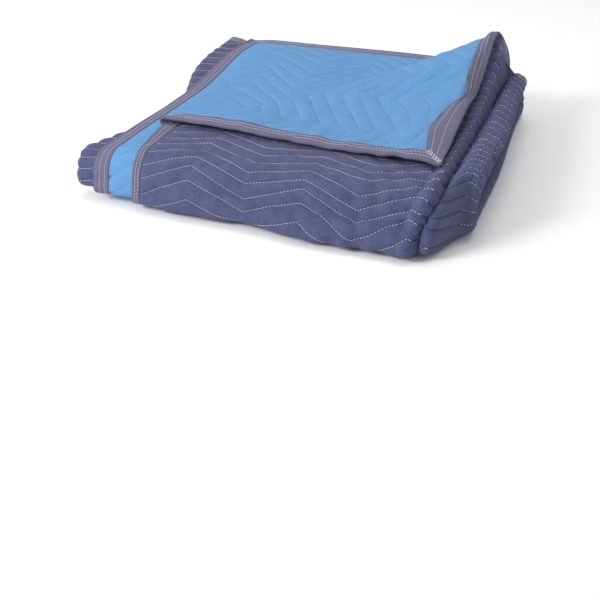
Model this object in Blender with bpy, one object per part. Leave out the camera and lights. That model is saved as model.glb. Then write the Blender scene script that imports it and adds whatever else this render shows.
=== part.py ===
"""Quilted moving blanket, folded in four across and in three along, with one corner turned back.

The cloth is described on its flat plan by two lengths, p across the folds and q along them.
pack_point lays a place of the plan into the folded pack and corner_point lays it into the corner
that is turned back. The outer cloth, the lining and the four binding tapes are regions of one
triangulated plan, each with its own two distances from the middle of the cloth.
Metres, +Z up, origin at the middle of the footprint on the floor, the round fold in front at -Y.
"""

import math

import bpy
import numpy as np
from mathutils import Vector
from mathutils.geometry import delaunay_2d_cdt

# Cloth
HALF_THICK = 0.00225
COVER_INNER = -0.00075
LINING_OUTER = -0.00105
BINDING_WIDTH = 0.025
SEAM_GAP = 0.0010
PLUMP_FROM_EDGE = 0.038

# Quilting: zigzag rows of stitches with a soft ridge between them
ROW_PITCH = 0.025
ZIGZAG_DEPTH = 0.040
RIDGE_HEIGHT = 0.0018
FIRST_APEX_X = 0.279
APEX_STEP = 0.0815

# Pack of four layers: how deep each lies below the pack's outer face
LAYER_PITCH = 0.0073
LAYER_DEPTH = {"top": HALF_THICK}
LAYER_DEPTH["second"] = HALF_THICK + LAYER_PITCH
LAYER_DEPTH["third"] = HALF_THICK + 2 * LAYER_PITCH
LAYER_DEPTH["fourth"] = HALF_THICK + 3 * LAYER_PITCH
PACK_PITCH = 4 * LAYER_PITCH
STACK_HEIGHT = 3 * PACK_PITCH - (LAYER_PITCH - 2 * HALF_THICK)

# Ends of the layers across the pack, and of the panels along it
SECOND_EDGE_X = -0.261
TOP_EDGE_X = -0.212
INNER_FOLD_X = 0.2315
OUTER_FOLD_X = 0.272
LEFT_FOLD_X = -0.285
FRONT_Y = -0.303
FRONT_RADIUS = STACK_HEIGHT / 2
BACK_RADIUS = PACK_PITCH - (LAYER_PITCH - 2 * HALF_THICK) / 2
FRONT_CENTRE_Y = FRONT_Y + FRONT_RADIUS
BACK_CENTRE_Y = 0.274
TUCKED_END_Y = -0.256
BACK_EDGE_Y = {"second": 0.307, "left_fold": 0.299, "top": 0.262}

# Turned-back corner
CORNER_FOLD_LEFT = Vector((TOP_EDGE_X, -0.175))
CORNER_FOLD_BACK = Vector((0.245, BACK_EDGE_Y["top"]))
CORNER_TIP = Vector((0.228, -0.205))
CORNER_ROLL = {"tight": 0.0046, "loose": 0.0300, "from": 0.23, "to": 0.93, "power": 1.9}
CREST_SHIFT = Vector((-0.032, -0.012))
CORNER_REST = 0.0095
CORNER_FALL = {"share": 0.33, "power": 2.2}

# Soft ridges and troughs of the top layer that run along Y
TOP_FORMS = (
    # name, x in the middle, half width, depth
    ("valley", 0.2450, 0.0065, 0.0110),
    ("ridge_beside_valley", 0.2335, 0.0075, -0.0040),
    ("outer_strip", 0.2635, 0.0075, -0.0015),
)
LEFT_MARGIN = {"x": -0.270, "half_width": 0.030, "fall": 0.060}
BACK_RISE = 0.130

# The folds at the right swing in toward the back, the outer strip's front end stands back, and
# the lower half of the front fold slumps forward
RIGHT_SWING = 0.014
FRONT_SETBACK = 0.016
FRONT_SLUMP = 0.016

# Plan
ACROSS = (
    # segment across, its length on the plan, number of steps round it where it is a fold
    ("second", 0.4925, 0),
    ("inner_fold", 0.0115, 4),
    ("third", 0.5165, 0),
    ("left_fold", 0.0115, 4),
    ("fourth", 0.557, 0),
    ("outer_fold", 0.0344, 4),
    ("top", 0.484, 0),
)
# Where the long layers bend across: the same places in each, so that they keep clear
BEND_X = (-0.185, -0.085, 0.015, 0.110, 0.198)
FOURTH_BEND_X = (0.236, 0.245, 0.254, 0.264)
TOP_BEND_X = (0.213, 0.225, 0.2335, 0.2390, 0.2450, 0.2510, 0.2570, 0.2640)
ALONG = (
    # segment along, its length on the plan, number of steps
    ("top_panel", 0.5226, 6),
    ("front_fold", 0.1290, 7),
    ("bottom_panel", 0.5346, 4),
    ("back_fold", 0.0803, 6),
    ("tucked_panel", 0.5300, 4),
)
ROLL_ANGLES = (0.0, 0.25, 0.5, 0.75, 1.0)
ROLL_STATIONS = 14

# Middle of the footprint, which becomes the origin
MIDDLE = np.array((-0.00213, -0.00227, 0.0))

COLOURS = {
    "cover": (0.092, 0.092, 0.235, 1.0),
    "lining": (0.135, 0.350, 0.665, 1.0),
    "binding": (0.165, 0.160, 0.300, 1.0),
}


def starts_of(segments):
    """Where each segment starts on the plan, and where the last one ends."""
    return np.concatenate([[0.0], np.cumsum([length for _, length, _ in segments])])


P_STARTS = starts_of(ACROSS)
Q_STARTS = starts_of(ALONG)
P_END = P_STARTS[-1]
Q_END = Q_STARTS[-1]
NUMBERS = np.arange(len(P_STARTS))


def smooth(x, low, high):
    """0 below low, 1 above high and an even S between them."""
    t = min(max((x - low) / (high - low), 0.0), 1.0)
    return t * t * (3 - 2 * t)


def left_fold_x(y):
    """The left fold bulges out at both ends and is drawn in a little behind the middle."""
    return LEFT_FOLD_X + 0.036 * math.exp(-(((y + 0.080) / 0.130) ** 2))


def second_edge_x(y):
    return SECOND_EDGE_X + 0.008 * math.exp(-(((y + 0.100) / 0.100) ** 2))


def top_edge_x(y):
    """The top layer's free edge swings to the right over the front fold."""
    return TOP_EDGE_X + 0.012 * smooth(-y, 0.175, 0.290)


def panel_inset(b):
    """How far the folds of the lower panels stand in from those of the top one."""
    return np.interp(b, [0, 1, 2, 3, 4, 5], [0, 0, 0.003, 0.004, 0.010, 0.012])


def right_swing(y):
    return RIGHT_SWING * smooth(y, -0.06, 0.26)


def eased(x, left, left_shift, right, right_shift):
    """x with its layer's ends moved, where only the stretch outside the shared bends gives."""
    near_left = min(max((BEND_X[0] - x) / (BEND_X[0] - left), 0.0), 1.0)
    near_right = min(max((x - BEND_X[-1]) / (right - BEND_X[-1]), 0.0), 1.0)
    return x + left_shift * near_left + right_shift * near_right


def section(a, y, inset):
    """x and depth below the pack's face at a place across."""
    k = min(int(a), 6)
    t = a - k
    top, second, third, fourth = LAYER_DEPTH.values()
    left_shift = left_fold_x(y) + inset - LEFT_FOLD_X
    inner, outer = INNER_FOLD_X, OUTER_FOLD_X
    inner_shift = -inset - 0.5 * right_swing(y)
    outer_shift = -inset - right_swing(y)
    if k == 0:
        x = SECOND_EDGE_X + t * (inner - SECOND_EDGE_X)
        return eased(x, SECOND_EDGE_X, second_edge_x(y) - SECOND_EDGE_X, inner, inner_shift), second
    if k == 2:
        x = inner + t * (LEFT_FOLD_X - inner)
        return eased(x, LEFT_FOLD_X, left_shift, inner, inner_shift), third
    if k == 4:
        x = LEFT_FOLD_X + t * (outer - LEFT_FOLD_X)
        return eased(x, LEFT_FOLD_X, left_shift, outer, outer_shift), fourth
    if k == 6:
        x = outer + t * (TOP_EDGE_X - outer)
        return eased(x, TOP_EDGE_X, top_edge_x(y) - TOP_EDGE_X, outer, outer_shift), top
    turn = math.pi * t
    if k == 1:
        r = (third - second) / 2
        return inner + inner_shift + r * math.sin(turn), (second + third) / 2 - r * math.cos(turn)
    if k == 3:
        r = (fourth - third) / 2
        x = LEFT_FOLD_X + left_shift - r * math.sin(turn)
        return x, (third + fourth) / 2 - r * math.cos(turn)
    r = (fourth - top) / 2
    return outer + outer_shift + r * math.sin(turn), (top + fourth) / 2 + r * math.cos(turn)


def back_edge_y(a):
    """The bound end at the back is even round each fold and slants between them."""
    second, fourth, top = BACK_EDGE_Y.values()
    return np.interp(a, NUMBERS, (second, second, second, fourth, fourth, top, top, top))


def along(b, depth, a):
    """y and z of a place along the pack's spiral, at a depth below its face."""
    k = min(int(b), 4)
    t = b - k
    back = back_edge_y(a)
    if k == 0:
        return back + t * (FRONT_CENTRE_Y - back), STACK_HEIGHT - depth
    if k == 1:
        r, turn = FRONT_RADIUS - depth, math.pi * t
        slump = math.sin(math.pi * max(2 * t - 1, 0.0)) ** 1.2
        y = FRONT_CENTRE_Y - r * math.sin(turn) - FRONT_SLUMP * slump * r / FRONT_RADIUS
        z = FRONT_RADIUS + r * math.cos(turn)
        return y, z - 0.2 * slump * (z - depth)
    if k == 2:
        return FRONT_CENTRE_Y + t * (BACK_CENTRE_Y - FRONT_CENTRE_Y), depth
    if k == 3:
        r, turn = BACK_RADIUS - depth, math.pi * t
        return BACK_CENTRE_Y + r * math.sin(turn), BACK_RADIUS - r * math.cos(turn)
    return BACK_CENTRE_Y + t * (TUCKED_END_Y - BACK_CENTRE_Y), 2 * BACK_RADIUS - depth


def rise_share(x, y):
    """How much higher or lower the stack is at a place, as a share of its height."""
    waves = 0.012 * math.sin(9 * x + 7 * y) + 0.010 * math.sin(13 * y - 5 * x + 1.0)
    left = math.exp(-(((x - LEFT_MARGIN["x"]) / LEFT_MARGIN["half_width"]) ** 2))
    across = (0.45 + 0.55 * smooth(x, -0.20, 0.05)) * (1 - smooth(x, 0.12, 0.24))
    return waves - LEFT_MARGIN["fall"] * left + BACK_RISE * smooth(y, 0.10, 0.30) * across


def top_form(x, b):
    """How deep the top layer is drawn into the pack, or how far it stands out of it."""
    fade = 1 - 0.8 * smooth(b, 1.0, 1.6) - 0.2 * smooth(b, 1.6, 2.0)
    return fade * sum(
        depth * math.exp(-(((x - middle) / half) ** 2)) for _, middle, half, depth in TOP_FORMS
    )


def pack_point(a, b):
    """Middle of the cloth at a place in the folded pack."""
    y, _ = along(b, LAYER_DEPTH["second"], a)
    x, depth = section(a, y, panel_inset(b))
    if a >= 6 and b <= 2:
        depth += top_form(OUTER_FOLD_X - (a - 6) * (OUTER_FOLD_X - TOP_EDGE_X), b)
    y, z = along(b, depth, a)
    return np.array((x, y + set_back(x, b), z * (1 + rise_share(x, y))))


def set_back(x, b):
    """How far the outer strip stands back at the front."""
    near_front = smooth(b, 0.80, 1.15) * (1 - smooth(b, 1.9, 2.2)) + smooth(b, 4.75, 5.0)
    return FRONT_SETBACK * smooth(x, 0.238, 0.264) * near_front


def top_height(x, y, form):
    """Height of the middle of the top layer where it lies flat, with a form drawn into it."""
    return (STACK_HEIGHT - HALF_THICK - form) * (1 + rise_share(x, y))


def roll_radius(share):
    tight, loose = CORNER_ROLL["tight"], CORNER_ROLL["loose"]
    t = (share - CORNER_ROLL["from"]) / (CORNER_ROLL["to"] - CORNER_ROLL["from"])
    return tight + (loose - tight) * min(max(t, 0.0), 1.0) ** CORNER_ROLL["power"]


CORNER = Vector((TOP_EDGE_X, BACK_EDGE_Y["top"]))
FOLD = CORNER_FOLD_BACK - CORNER_FOLD_LEFT


def corner_share(x, y):
    """For a place of the flat top layer: its share along the corner's fold and beyond it.

    The second share is 0 on the fold and 1 at the tip. It is negative on the flat side.
    """
    from_tip = Vector((x, y)) - CORNER
    if from_tip.length < 1e-9:
        return 0.5, 1.0
    to_left = CORNER_FOLD_LEFT - CORNER
    cross = from_tip.x * FOLD.y - from_tip.y * FOLD.x
    if abs(cross) < 1e-12:
        return 0.5, -9.0
    reach = (to_left.x * FOLD.y - to_left.y * FOLD.x) / cross
    met = CORNER + from_tip * reach
    return (met - CORNER_FOLD_LEFT).dot(FOLD) / FOLD.length_squared, 1 - 1 / reach


def corner_point(x, y):
    """Middle of the cloth for a place of the top layer beyond the corner's fold."""
    share, beyond = corner_share(x, y)
    share = min(max(share, 0.0), 1.0)
    start = CORNER_FOLD_LEFT + share * FOLD
    crest = start + CREST_SHIFT * smooth(share, 0.25, 1.0)
    swung_x = eased(start.x, TOP_EDGE_X, 0.0, OUTER_FOLD_X, -right_swing(start.y))
    begin = Vector((swung_x, start.y))
    length = (start - CORNER).length
    radius = roll_radius(share)
    gone = beyond * length
    raised = top_height(start.x, start.y, 0.0)
    if gone < math.pi * radius:
        turn = gone / radius
        over = (1 - math.cos(turn)) / 2
        back = (begin - CORNER_TIP).normalized()
        place = begin + (crest - begin) * over + back * radius * math.sin(turn)
        ground = top_height(begin.x, begin.y, top_form(start.x, 0.0))
        return np.array((place.x, place.y, ground + (raised - ground) * over + 2 * radius * over))
    fall = (gone - math.pi * radius) / (length - math.pi * radius)
    place = crest + fall * (CORNER_TIP - crest)
    lift = CORNER_REST + (2 * radius - CORNER_REST) / (
        1 + (fall / CORNER_FALL["share"]) ** CORNER_FALL["power"]
    )
    blend = smooth(fall, 0.0, 0.2)
    under = raised * (1 - blend) + top_height(place.x, place.y, top_form(place.x, 0.0)) * blend
    return np.array((place.x, place.y, under + lift))


def is_turned(a, b):
    if a < 6 or b > 1:
        return False
    x, y = flat_place(a, b)
    return corner_share(x, y)[1] > 0


def flat_place(a, b):
    """Where a place of the top layer would lie with the corner laid flat."""
    return OUTER_FOLD_X - (a - 6) * (OUTER_FOLD_X - TOP_EDGE_X), along(b, 0.0, a)[0]


def moved(point_at, u, v, step, off, u_range, v_range):
    """A point of a surface, moved off it along its normal. The normal is taken by small steps."""
    u0, u1 = max(u - step, u_range[0]), min(u + step, u_range[1])
    v0, v1 = max(v - step, v_range[0]), min(v + step, v_range[1])
    normal = np.cross(point_at(u1, v) - point_at(u0, v), point_at(u, v1) - point_at(u, v0))
    return point_at(u, v) + off * normal / np.linalg.norm(normal) - MIDDLE


def numbers_at(p, q):
    """The two running numbers of a place on the plan: its segment and the share along it."""
    return np.interp(p, P_STARTS, NUMBERS), np.interp(q, Q_STARTS, range(len(Q_STARTS)))


def zigzag(p):
    """How far the stitch rows have swung forward at a place across the top layer."""
    apex = (P_END - p - (OUTER_FOLD_X - FIRST_APEX_X + ACROSS[-1][1])) / APEX_STEP
    swing = abs((apex % 2.0) - 1.0)
    return ZIGZAG_DEPTH * swing


def ridge(p, q):
    """Height of the quilted ridges, on the part of the cloth whose rows are modelled."""
    inside = smooth(q, BINDING_WIDTH, PLUMP_FROM_EDGE)
    inside *= 1 - smooth(q, Q_STARTS[2] - 0.03, Q_STARTS[2] - 0.01)
    inside *= smooth(p, P_STARTS[5], P_STARTS[5] + 0.01)
    inside *= smooth(P_END - p, BINDING_WIDTH, PLUMP_FROM_EDGE)
    row = (q - zigzag(p)) / ROW_PITCH
    return RIDGE_HEIGHT * inside * math.sin(math.pi * (row % 1.0))


def fold_calm(p, q):
    """The ridges are pressed flat close to the corner's fold."""
    a, b = numbers_at(p, q)
    if a < 6 or b > 1:
        return 1.0
    x, y = flat_place(a, b)
    away = Vector((x, y)) - CORNER_FOLD_LEFT
    across = abs(away.x * FOLD.y - away.y * FOLD.x) / FOLD.length
    return 0.2 + 0.8 * smooth(across, 0.005, 0.045)


def place_on_cloth(p, q, off):
    a, b = numbers_at(p, q)
    if is_turned(a, b):
        x, y = flat_place(a, b)
        return moved(corner_point, x, y, 0.0005, off, (-1, 1), (-1, 1))
    return moved(pack_point, a, b, 0.002, off, (0, 7), (0, 5))


class Plan:
    """Points and lines on the flat plan, and the triangles that join them."""

    def __init__(self):
        self.points = []
        self.lines = []

    def line(self, places):
        first = len(self.points)
        self.points += [Vector((round(float(p), 6), round(float(q), 6))) for p, q in places]
        self.lines += [(first + k, first + k + 1) for k in range(len(places) - 1)]

    def triangulated(self):
        points, _, faces, _, _, _ = delaunay_2d_cdt(self.points, self.lines, [], 0, 1e-5)
        return np.array([tuple(point) for point in points]), np.array(faces)


def stations(starts, segments, bends, end):
    """The ends of the segments, steps over the folds, bends, and lines beside the bound edges."""
    found = list(starts) + list(bends)
    for k, (_, length, steps) in enumerate(segments):
        found += [starts[k] + length * i / steps for i in range(steps)]
    borders = (BINDING_WIDTH, BINDING_WIDTH + SEAM_GAP, PLUMP_FROM_EDGE)
    found += list(borders) + [end - border for border in borders]
    return np.array(sorted(set(round(float(place), 6) for place in found)))


def bends_across():
    """Places on the plan of the bends that the four long layers share, and of the fourth's own."""
    ends = ((0, SECOND_EDGE_X, 1), (2, INNER_FOLD_X, -1), (4, LEFT_FOLD_X, 1), (6, OUTER_FOLD_X, -1))
    bends = [P_STARTS[k] + way * (x - start) for k, start, way in ends for x in BEND_X]
    return bends + [P_STARTS[4] + x - LEFT_FOLD_X for x in FOURTH_BEND_X]


def top_place(x):
    """Place on the plan of an x of the top layer."""
    return P_STARTS[6] + OUTER_FOLD_X - x


def roll_lines():
    """Lines on the plan along the corner's roll, from the flat cloth over to the turned side."""
    for angle in ROLL_ANGLES:
        places = []
        for k in range(ROLL_STATIONS):
            share = k / (ROLL_STATIONS - 1)
            start = CORNER_FOLD_LEFT + share * FOLD
            out = (CORNER - start).normalized() * math.pi * roll_radius(share) * angle
            place = start + out
            places.append((top_place(place.x), BACK_EDGE_Y["top"] - place.y))
        yield places


def stitch_lines():
    """The zigzag rows and the ridges midway between them, over the top layer and the front fold."""
    first, last = top_place(BEND_X[-1]), P_END - PLUMP_FROM_EDGE
    apexes = [p for p in apex_places() if first < p < last]
    stops = [first] + apexes + [last]
    front_rows = np.linspace(Q_STARTS[1], Q_STARTS[2], ALONG[1][2] + 1)
    for half_row in range(-2, int(2 * Q_STARTS[2] / ROW_PITCH) + 1):
        base = half_row * ROW_PITCH / 2
        line = [(p, base + zigzag(p)) for p in stops]
        fine = []
        for (p0, q0), (p1, q1) in zip(line, line[1:]):
            fine.append((p0, q0))
            crossed = [q for q in front_rows if min(q0, q1) < q < max(q0, q1)]
            for q in sorted(crossed, reverse=bool(q0 > q1)):
                fine.append((p0 + (q - q0) / (q1 - q0) * (p1 - p0), q))
        fine.append(line[-1])
        run = []
        for place in fine:
            if PLUMP_FROM_EDGE < place[1] < Q_STARTS[2] - 0.004:
                run.append(place)
                continue
            if len(run) > 1:
                yield run
            run = []
        if len(run) > 1:
            yield run


def apex_places():
    top = ACROSS[-1][1]
    start = P_END - top - (FIRST_APEX_X - OUTER_FOLD_X)
    return [start + k * APEX_STEP for k in range(8)]


def make_plan():
    plan = Plan()
    columns = stations(P_STARTS, ACROSS, bends_across(), P_END)
    rows = stations(Q_STARTS, ALONG, (), Q_END)
    quilted = (top_place(BEND_X[-1]), P_END - PLUMP_FROM_EDGE)
    for q in rows:
        if PLUMP_FROM_EDGE + 1e-6 < q < Q_STARTS[1] - 1e-6:
            plan.line([(p, q) for p in columns if p <= quilted[0] + 1e-6])
            plan.line([(p, q) for p in columns if p >= quilted[1] - 1e-6])
        else:
            plan.line([(p, q) for p in columns])
    for p in columns:
        if quilted[0] + 1e-6 < p < quilted[1] - 1e-6:
            plan.line([(p, q) for q in rows if q <= PLUMP_FROM_EDGE + 1e-6])
            plan.line([(p, q) for q in rows if q >= Q_STARTS[2] - 1e-6])
        else:
            plan.line([(p, q) for q in rows])
    for x in TOP_BEND_X:
        plan.line([(top_place(x), q) for q in rows if q <= Q_STARTS[2] + 1e-6])
    for places in list(stitch_lines()) + list(roll_lines()):
        plan.line(places)
    return plan.triangulated()


def closed_mesh(name, points, faces, outer, inner):
    """A closed solid over some triangles of the plan, between two distances from the middle."""
    used, index = np.unique(faces, return_inverse=True)
    faces = index.reshape(-1, 3)
    places = points[used]
    first = [place_on_cloth(p, q, outer(p, q)) for p, q in places]
    second = [place_on_cloth(p, q, inner(p, q)) for p, q in places]
    count = len(places)
    ends = {}
    for i, j, k in faces:
        for edge in ((i, j), (j, k), (k, i)):
            ends[edge] = ends.get(edge, 0) + 1
    solid = [tuple(face) for face in faces]
    solid += [(k + count, j + count, i + count) for i, j, k in faces]
    solid += [(j, i, i + count, j + count) for i, j in ends if (j, i) not in ends]
    places = np.array(first + second)
    volume = 0.0
    for face in solid:
        for m in range(1, len(face) - 1):
            volume += np.dot(places[face[0]], np.cross(places[face[m]], places[face[m + 1]]))
    if volume < 0:
        solid = [face[::-1] for face in solid]
    mesh = bpy.data.meshes.new(name)
    mesh.from_pydata([tuple(place) for place in places], [], [tuple(int(i) for i in f) for f in solid])
    mesh.validate()
    return mesh


def cover_face(p, q):
    return HALF_THICK + ridge(p, q) * fold_calm(p, q)


def lining_face(p, q):
    return -HALF_THICK - 0.5 * ridge(p, q) * fold_calm(p, q)


def constant(value):
    return lambda p, q: value


def material(name, roughness):
    made = bpy.data.materials.new(name)
    made.use_nodes = True
    shader = made.node_tree.nodes["Principled BSDF"]
    shader.inputs["Base Color"].default_value = COLOURS[name]
    shader.inputs["Roughness"].default_value = roughness
    shader.inputs["Metallic"].default_value = 0.0
    return made


def add_piece(name, mesh, made):
    mesh.materials.append(made)
    mesh.shade_smooth()
    mesh.set_sharp_from_angle(angle=math.radians(40))
    piece = bpy.data.objects.new(name, mesh)
    bpy.context.scene.collection.objects.link(piece)
    return piece


def regions(points, faces):
    """The triangles of each piece, by where their middles lie on the plan."""
    p, q = points[faces].mean(axis=1).T
    edge, seam = BINDING_WIDTH, BINDING_WIDTH + SEAM_GAP
    first_end = q < edge
    last_end = q > Q_END - edge
    between = (q > seam) & (q < Q_END - seam)
    return {
        "cloth": between & (p > seam) & (p < P_END - seam),
        "binding_back_end": first_end,
        "binding_tucked_end": last_end,
        "binding_second_layer": between & (p < edge),
        "binding_top_layer": between & (p > P_END - edge),
    }


def build():
    for old in list(bpy.data.objects):
        bpy.data.objects.remove(old, do_unlink=True)
    points, faces = make_plan()
    parts = regions(points, faces)
    cloth = faces[parts["cloth"]]
    cover = closed_mesh("cover", points, cloth, cover_face, constant(COVER_INNER))
    add_piece("cover", cover, material("cover", 0.85))
    lining = closed_mesh("lining", points, cloth, constant(LINING_OUTER), lining_face)
    add_piece("lining", lining, material("lining", 0.85))
    tape = material("binding", 0.75)
    for name in parts:
        if name.startswith("binding"):
            strip = faces[parts[name]]
            mesh = closed_mesh(name, points, strip, constant(HALF_THICK), constant(-HALF_THICK))
            add_piece(name, mesh, tape)


build()
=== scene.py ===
"""Folded moving blanket: cloth, lining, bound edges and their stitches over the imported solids.

The cloth is described on its flat plan by two lengths in metres, p across the folds and q along
them. spot() lays a place of the plan into the folded pack or into the corner that is turned back.
"""

import math

import bpy
import numpy as np
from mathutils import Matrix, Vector
from mathutils.geometry import delaunay_2d_cdt


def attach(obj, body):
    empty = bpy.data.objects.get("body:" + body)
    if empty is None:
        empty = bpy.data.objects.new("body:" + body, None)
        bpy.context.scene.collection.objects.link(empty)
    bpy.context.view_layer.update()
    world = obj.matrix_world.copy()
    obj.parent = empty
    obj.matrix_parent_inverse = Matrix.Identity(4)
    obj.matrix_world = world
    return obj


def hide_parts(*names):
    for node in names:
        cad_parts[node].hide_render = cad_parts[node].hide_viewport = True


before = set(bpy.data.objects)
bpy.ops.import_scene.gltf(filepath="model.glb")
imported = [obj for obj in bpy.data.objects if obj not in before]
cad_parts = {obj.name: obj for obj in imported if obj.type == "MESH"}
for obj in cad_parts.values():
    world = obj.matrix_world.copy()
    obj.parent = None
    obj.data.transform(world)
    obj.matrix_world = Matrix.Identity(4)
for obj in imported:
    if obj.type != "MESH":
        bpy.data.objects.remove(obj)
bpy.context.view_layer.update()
MM = 0.001

# Cloth
HALF = 2.25 * MM
COVER_INNER = -0.75 * MM
LINING_OUTER = -1.05 * MM
BINDING_WIDTH = 25 * MM
BINDING_HALF = 2.75 * MM
TUFT = {"cover": 2.8 * MM, "lining": 1.9 * MM}

# Pack
PITCH = 7.3 * MM
DEPTH = np.array([HALF, HALF + PITCH, HALF + 2 * PITCH, HALF + 3 * PITCH])
TOP, SECOND, THIRD, FOURTH = DEPTH
PACK = 4 * PITCH
HEIGHT = 3 * PACK - (PITCH - 2 * HALF)
SECOND_EDGE_X = -0.261
TOP_EDGE_X = -0.212
INNER_X = 0.2245
OUTER_X = 0.272
LEFT_X = -0.285
FRONT_R = HEIGHT / 2
BACK_R = PACK - (PITCH - 2 * HALF) / 2
FRONT_CY = -0.303 + FRONT_R
BACK_CY = 0.274
TUCKED_Y = -0.256
BACK_EDGE = (0.307, 0.307, 0.307, 0.299, 0.299, 0.262, 0.262, 0.262)
BEND_X = (-0.185, 0.198)
# How far the front sags forward, by the layer's place across
SLUMP_A = (3.9, 5.1, 6.05, 6.12, 6.40, 6.65, 7.0)
SLUMP_SHARE = (0.0, 0.0, 0.0, 1.0, 1.0, 0.0, 0.0)
MIDDLE = np.array((-0.00213, -0.00227, 0.0))

# Plan lengths of the layers and folds across, and of the panels and folds along
P_LONG = (0.4925, 0.0115, 0.5165, 0.0115, 0.557, 0.0344, 0.484)
Q_LONG = (0.5226, 0.1290, 0.5346, 0.0803, 0.5300)
P = np.concatenate([[0.0], np.cumsum(P_LONG)])
Q = np.concatenate([[0.0], np.cumsum(Q_LONG)])
P_END, Q_END = P[-1], Q[-1]

# Turned-back corner, on the flat top layer
FOLD_A = np.array((TOP_EDGE_X, -0.175))
FOLD_B = np.array((0.245, 0.262))
CORNER = np.array((TOP_EDGE_X, 0.262))
TIP = np.array((0.228, -0.205))
CREST = np.array((-0.032, -0.012))
BOW = np.array((0.006, -0.013))
FOLD = FOLD_B - FOLD_A
REST = 9.5 * MM
ROLL = (
    # share along the fold, radius in mm
    (0.00, 6.0),
    (0.12, 6.0),
    (0.29, 5.2),
    (0.44, 6.9),
    (0.51, 8.6),
    (0.58, 10.4),
    (0.65, 13.2),
    (0.72, 17.0),
    (0.79, 21.3),
    (0.86, 25.6),
    (0.93, 31.0),
    (1.00, 35.6),
)
FALL = (
    # share of the way from the crest to the tip, share of the roll's height that is left
    (0.00, 1.00),
    (0.10, 0.985),
    (0.16, 0.88),
    (0.21, 0.74),
    (0.27, 0.58),
    (0.357, 0.45),
    (0.49, 0.33),
    (0.647, 0.22),
    (0.78, 0.12),
    (0.90, 0.045),
    (1.00, 0.00),
)

# Quilting. Each table gives how far along the cloth (q, in mm) a stitch row lies at its turns
TOP_ROWS = (
    # x of the turn, then the rows from the first that shows at the front downwards
    (0.300, (499, 527, 556, 577, 595, 612, 632)),
    (0.215, (471, 498, 527, 544, 563, 576, 596)),
    (0.140, (503, 530, 556, 575, 592, 610, 641)),
    (0.060, (472, 498, 525, 544, 557, 576, 598)),
    (-0.025, (494, 522, 545, 562, 584, 600, 622)),
    (-0.111, (457, 481, 509, 532, 549, 570, 595)),
    (-0.195, (492, 516, 541, 563, 583, 604, 627)),
    (-0.280, (456, 481, 508, 530, 550, 570, 594)),
)
TOP_ROW_PITCH = 25.4
CORNER_ROWS = (
    # x of the turn on the plan, then the rows from the back edge forwards
    (0.215, (22, 47, 77, 105, 135, 165, 195)),
    (0.130, (79, 104, 134, 162, 192, 222, 252)),
    (0.045, (22, 47, 77, 105, 135, 165, 195)),
    (-0.030, (72, 106, 135, 165, 197, 228, 258)),
    (-0.128, (20, 50, 82, 115, 140, 171, 202)),
    (-0.212, (77, 107, 139, 172, 197, 228, 259)),
)
CORNER_ROW_PITCH = 31.0
SECOND_ROWS = (
    # x of the place, then the rows from the back edge forwards
    (-0.262, (72, 122, 196, 242, 284, 322, 346, 376, 404)),
    (-0.230, (58, 98, 168, 208, 250, 288, 312, 346, 374)),
    (-0.195, (50, 84, 136, 160, 202, 238, 270, 308, 345)),
    (-0.172, (62, 92, 119, 141, 173, 207, 246, 284, 322)),
    (-0.088, (108, 146, 180, 220, 252, 287, 316, 350, 384)),
    (-0.045, (70, 108, 124, 164, 196, 230, 262, 296, 330)),
    (0.000, (44, 70, 92, 118, 150, 184, 216, 250, 284)),
    (0.085, (106, 140, 168, 198, 230, 262, 294, 326, 358)),
    (0.170, (50, 80, 110, 142, 174, 206, 238, 270, 302)),
    (0.250, (106, 138, 168, 198, 230, 262, 294, 326, 358)),
)
SECOND_ROW_PITCH = 30.0
PLAIN_ROW_PITCH = 26 * MM
SWING = 37 * MM
TURN_STEP = 84 * MM

# Stitches
STITCH = {"length": 3.5 * MM, "gap": 1.25 * MM, "radius": 0.42 * MM}
STITCH_SHAPE = (
    # share of the length, share of the radius, height in radii
    (0.00, 0.35, -0.25),
    (0.22, 1.00, 0.55),
    (0.78, 1.00, 0.55),
    (1.00, 0.35, -0.25),
)
BINDING_ROWS = (10 * MM, 18 * MM)


def ramp(x, low, high):
    t = np.clip((x - low) / (high - low), 0.0, 1.0)
    return t * t * (3 - 2 * t)


def hump(x, middle, half):
    return np.exp(-(((x - middle) / half) ** 2))


def eased_table(rows, width=0.05):
    """A smooth curve through a short table, as a function."""
    xs, ys = np.array(rows).T
    fine = np.linspace(xs[0] - 0.2, xs[-1] + 0.2, 561)
    values = np.interp(fine, xs, ys)
    first, last = (ys[1] - ys[0]) / (xs[1] - xs[0]), (ys[-1] - ys[-2]) / (xs[-1] - xs[-2])
    values = np.where(fine < xs[0], ys[0] + (fine - xs[0]) * first, values)
    values = np.where(fine > xs[-1], ys[-1] + (fine - xs[-1]) * last, values)
    weight = np.hanning(max(3, int(width / (fine[1] - fine[0])) | 1))
    values = np.convolve(np.pad(values, len(weight) // 2, mode="edge"), weight / weight.sum(), "valid")
    return lambda x: np.interp(x, fine, values)


roll_radius = eased_table([(share, radius * MM) for share, radius in ROLL], 0.07)
fall_share = eased_table(FALL, 0.05)


def noise(x, y, scale, seed, octaves=2):
    """Smooth uneven waves, about one high."""
    rng = np.random.default_rng(seed)
    total = 0.0
    for octave in range(octaves):
        for _ in range(4):
            angle, phase = rng.uniform(0, math.pi), rng.uniform(0, 2 * math.pi)
            k = 2 * math.pi / scale * (2**octave) * rng.uniform(0.7, 1.4)
            total = total + np.sin(k * (x * math.cos(angle) + y * math.sin(angle)) + phase) / (
                4 * 2**octave
            )
    return total


def left_fold_x(y):
    drawn_in = 0.036 * hump(y, -0.080, 0.130)
    return LEFT_X + drawn_in - 0.012 * ramp(-y, 0.12, 0.26) - 0.019 * ramp(y, -0.02, 0.16)


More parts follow.
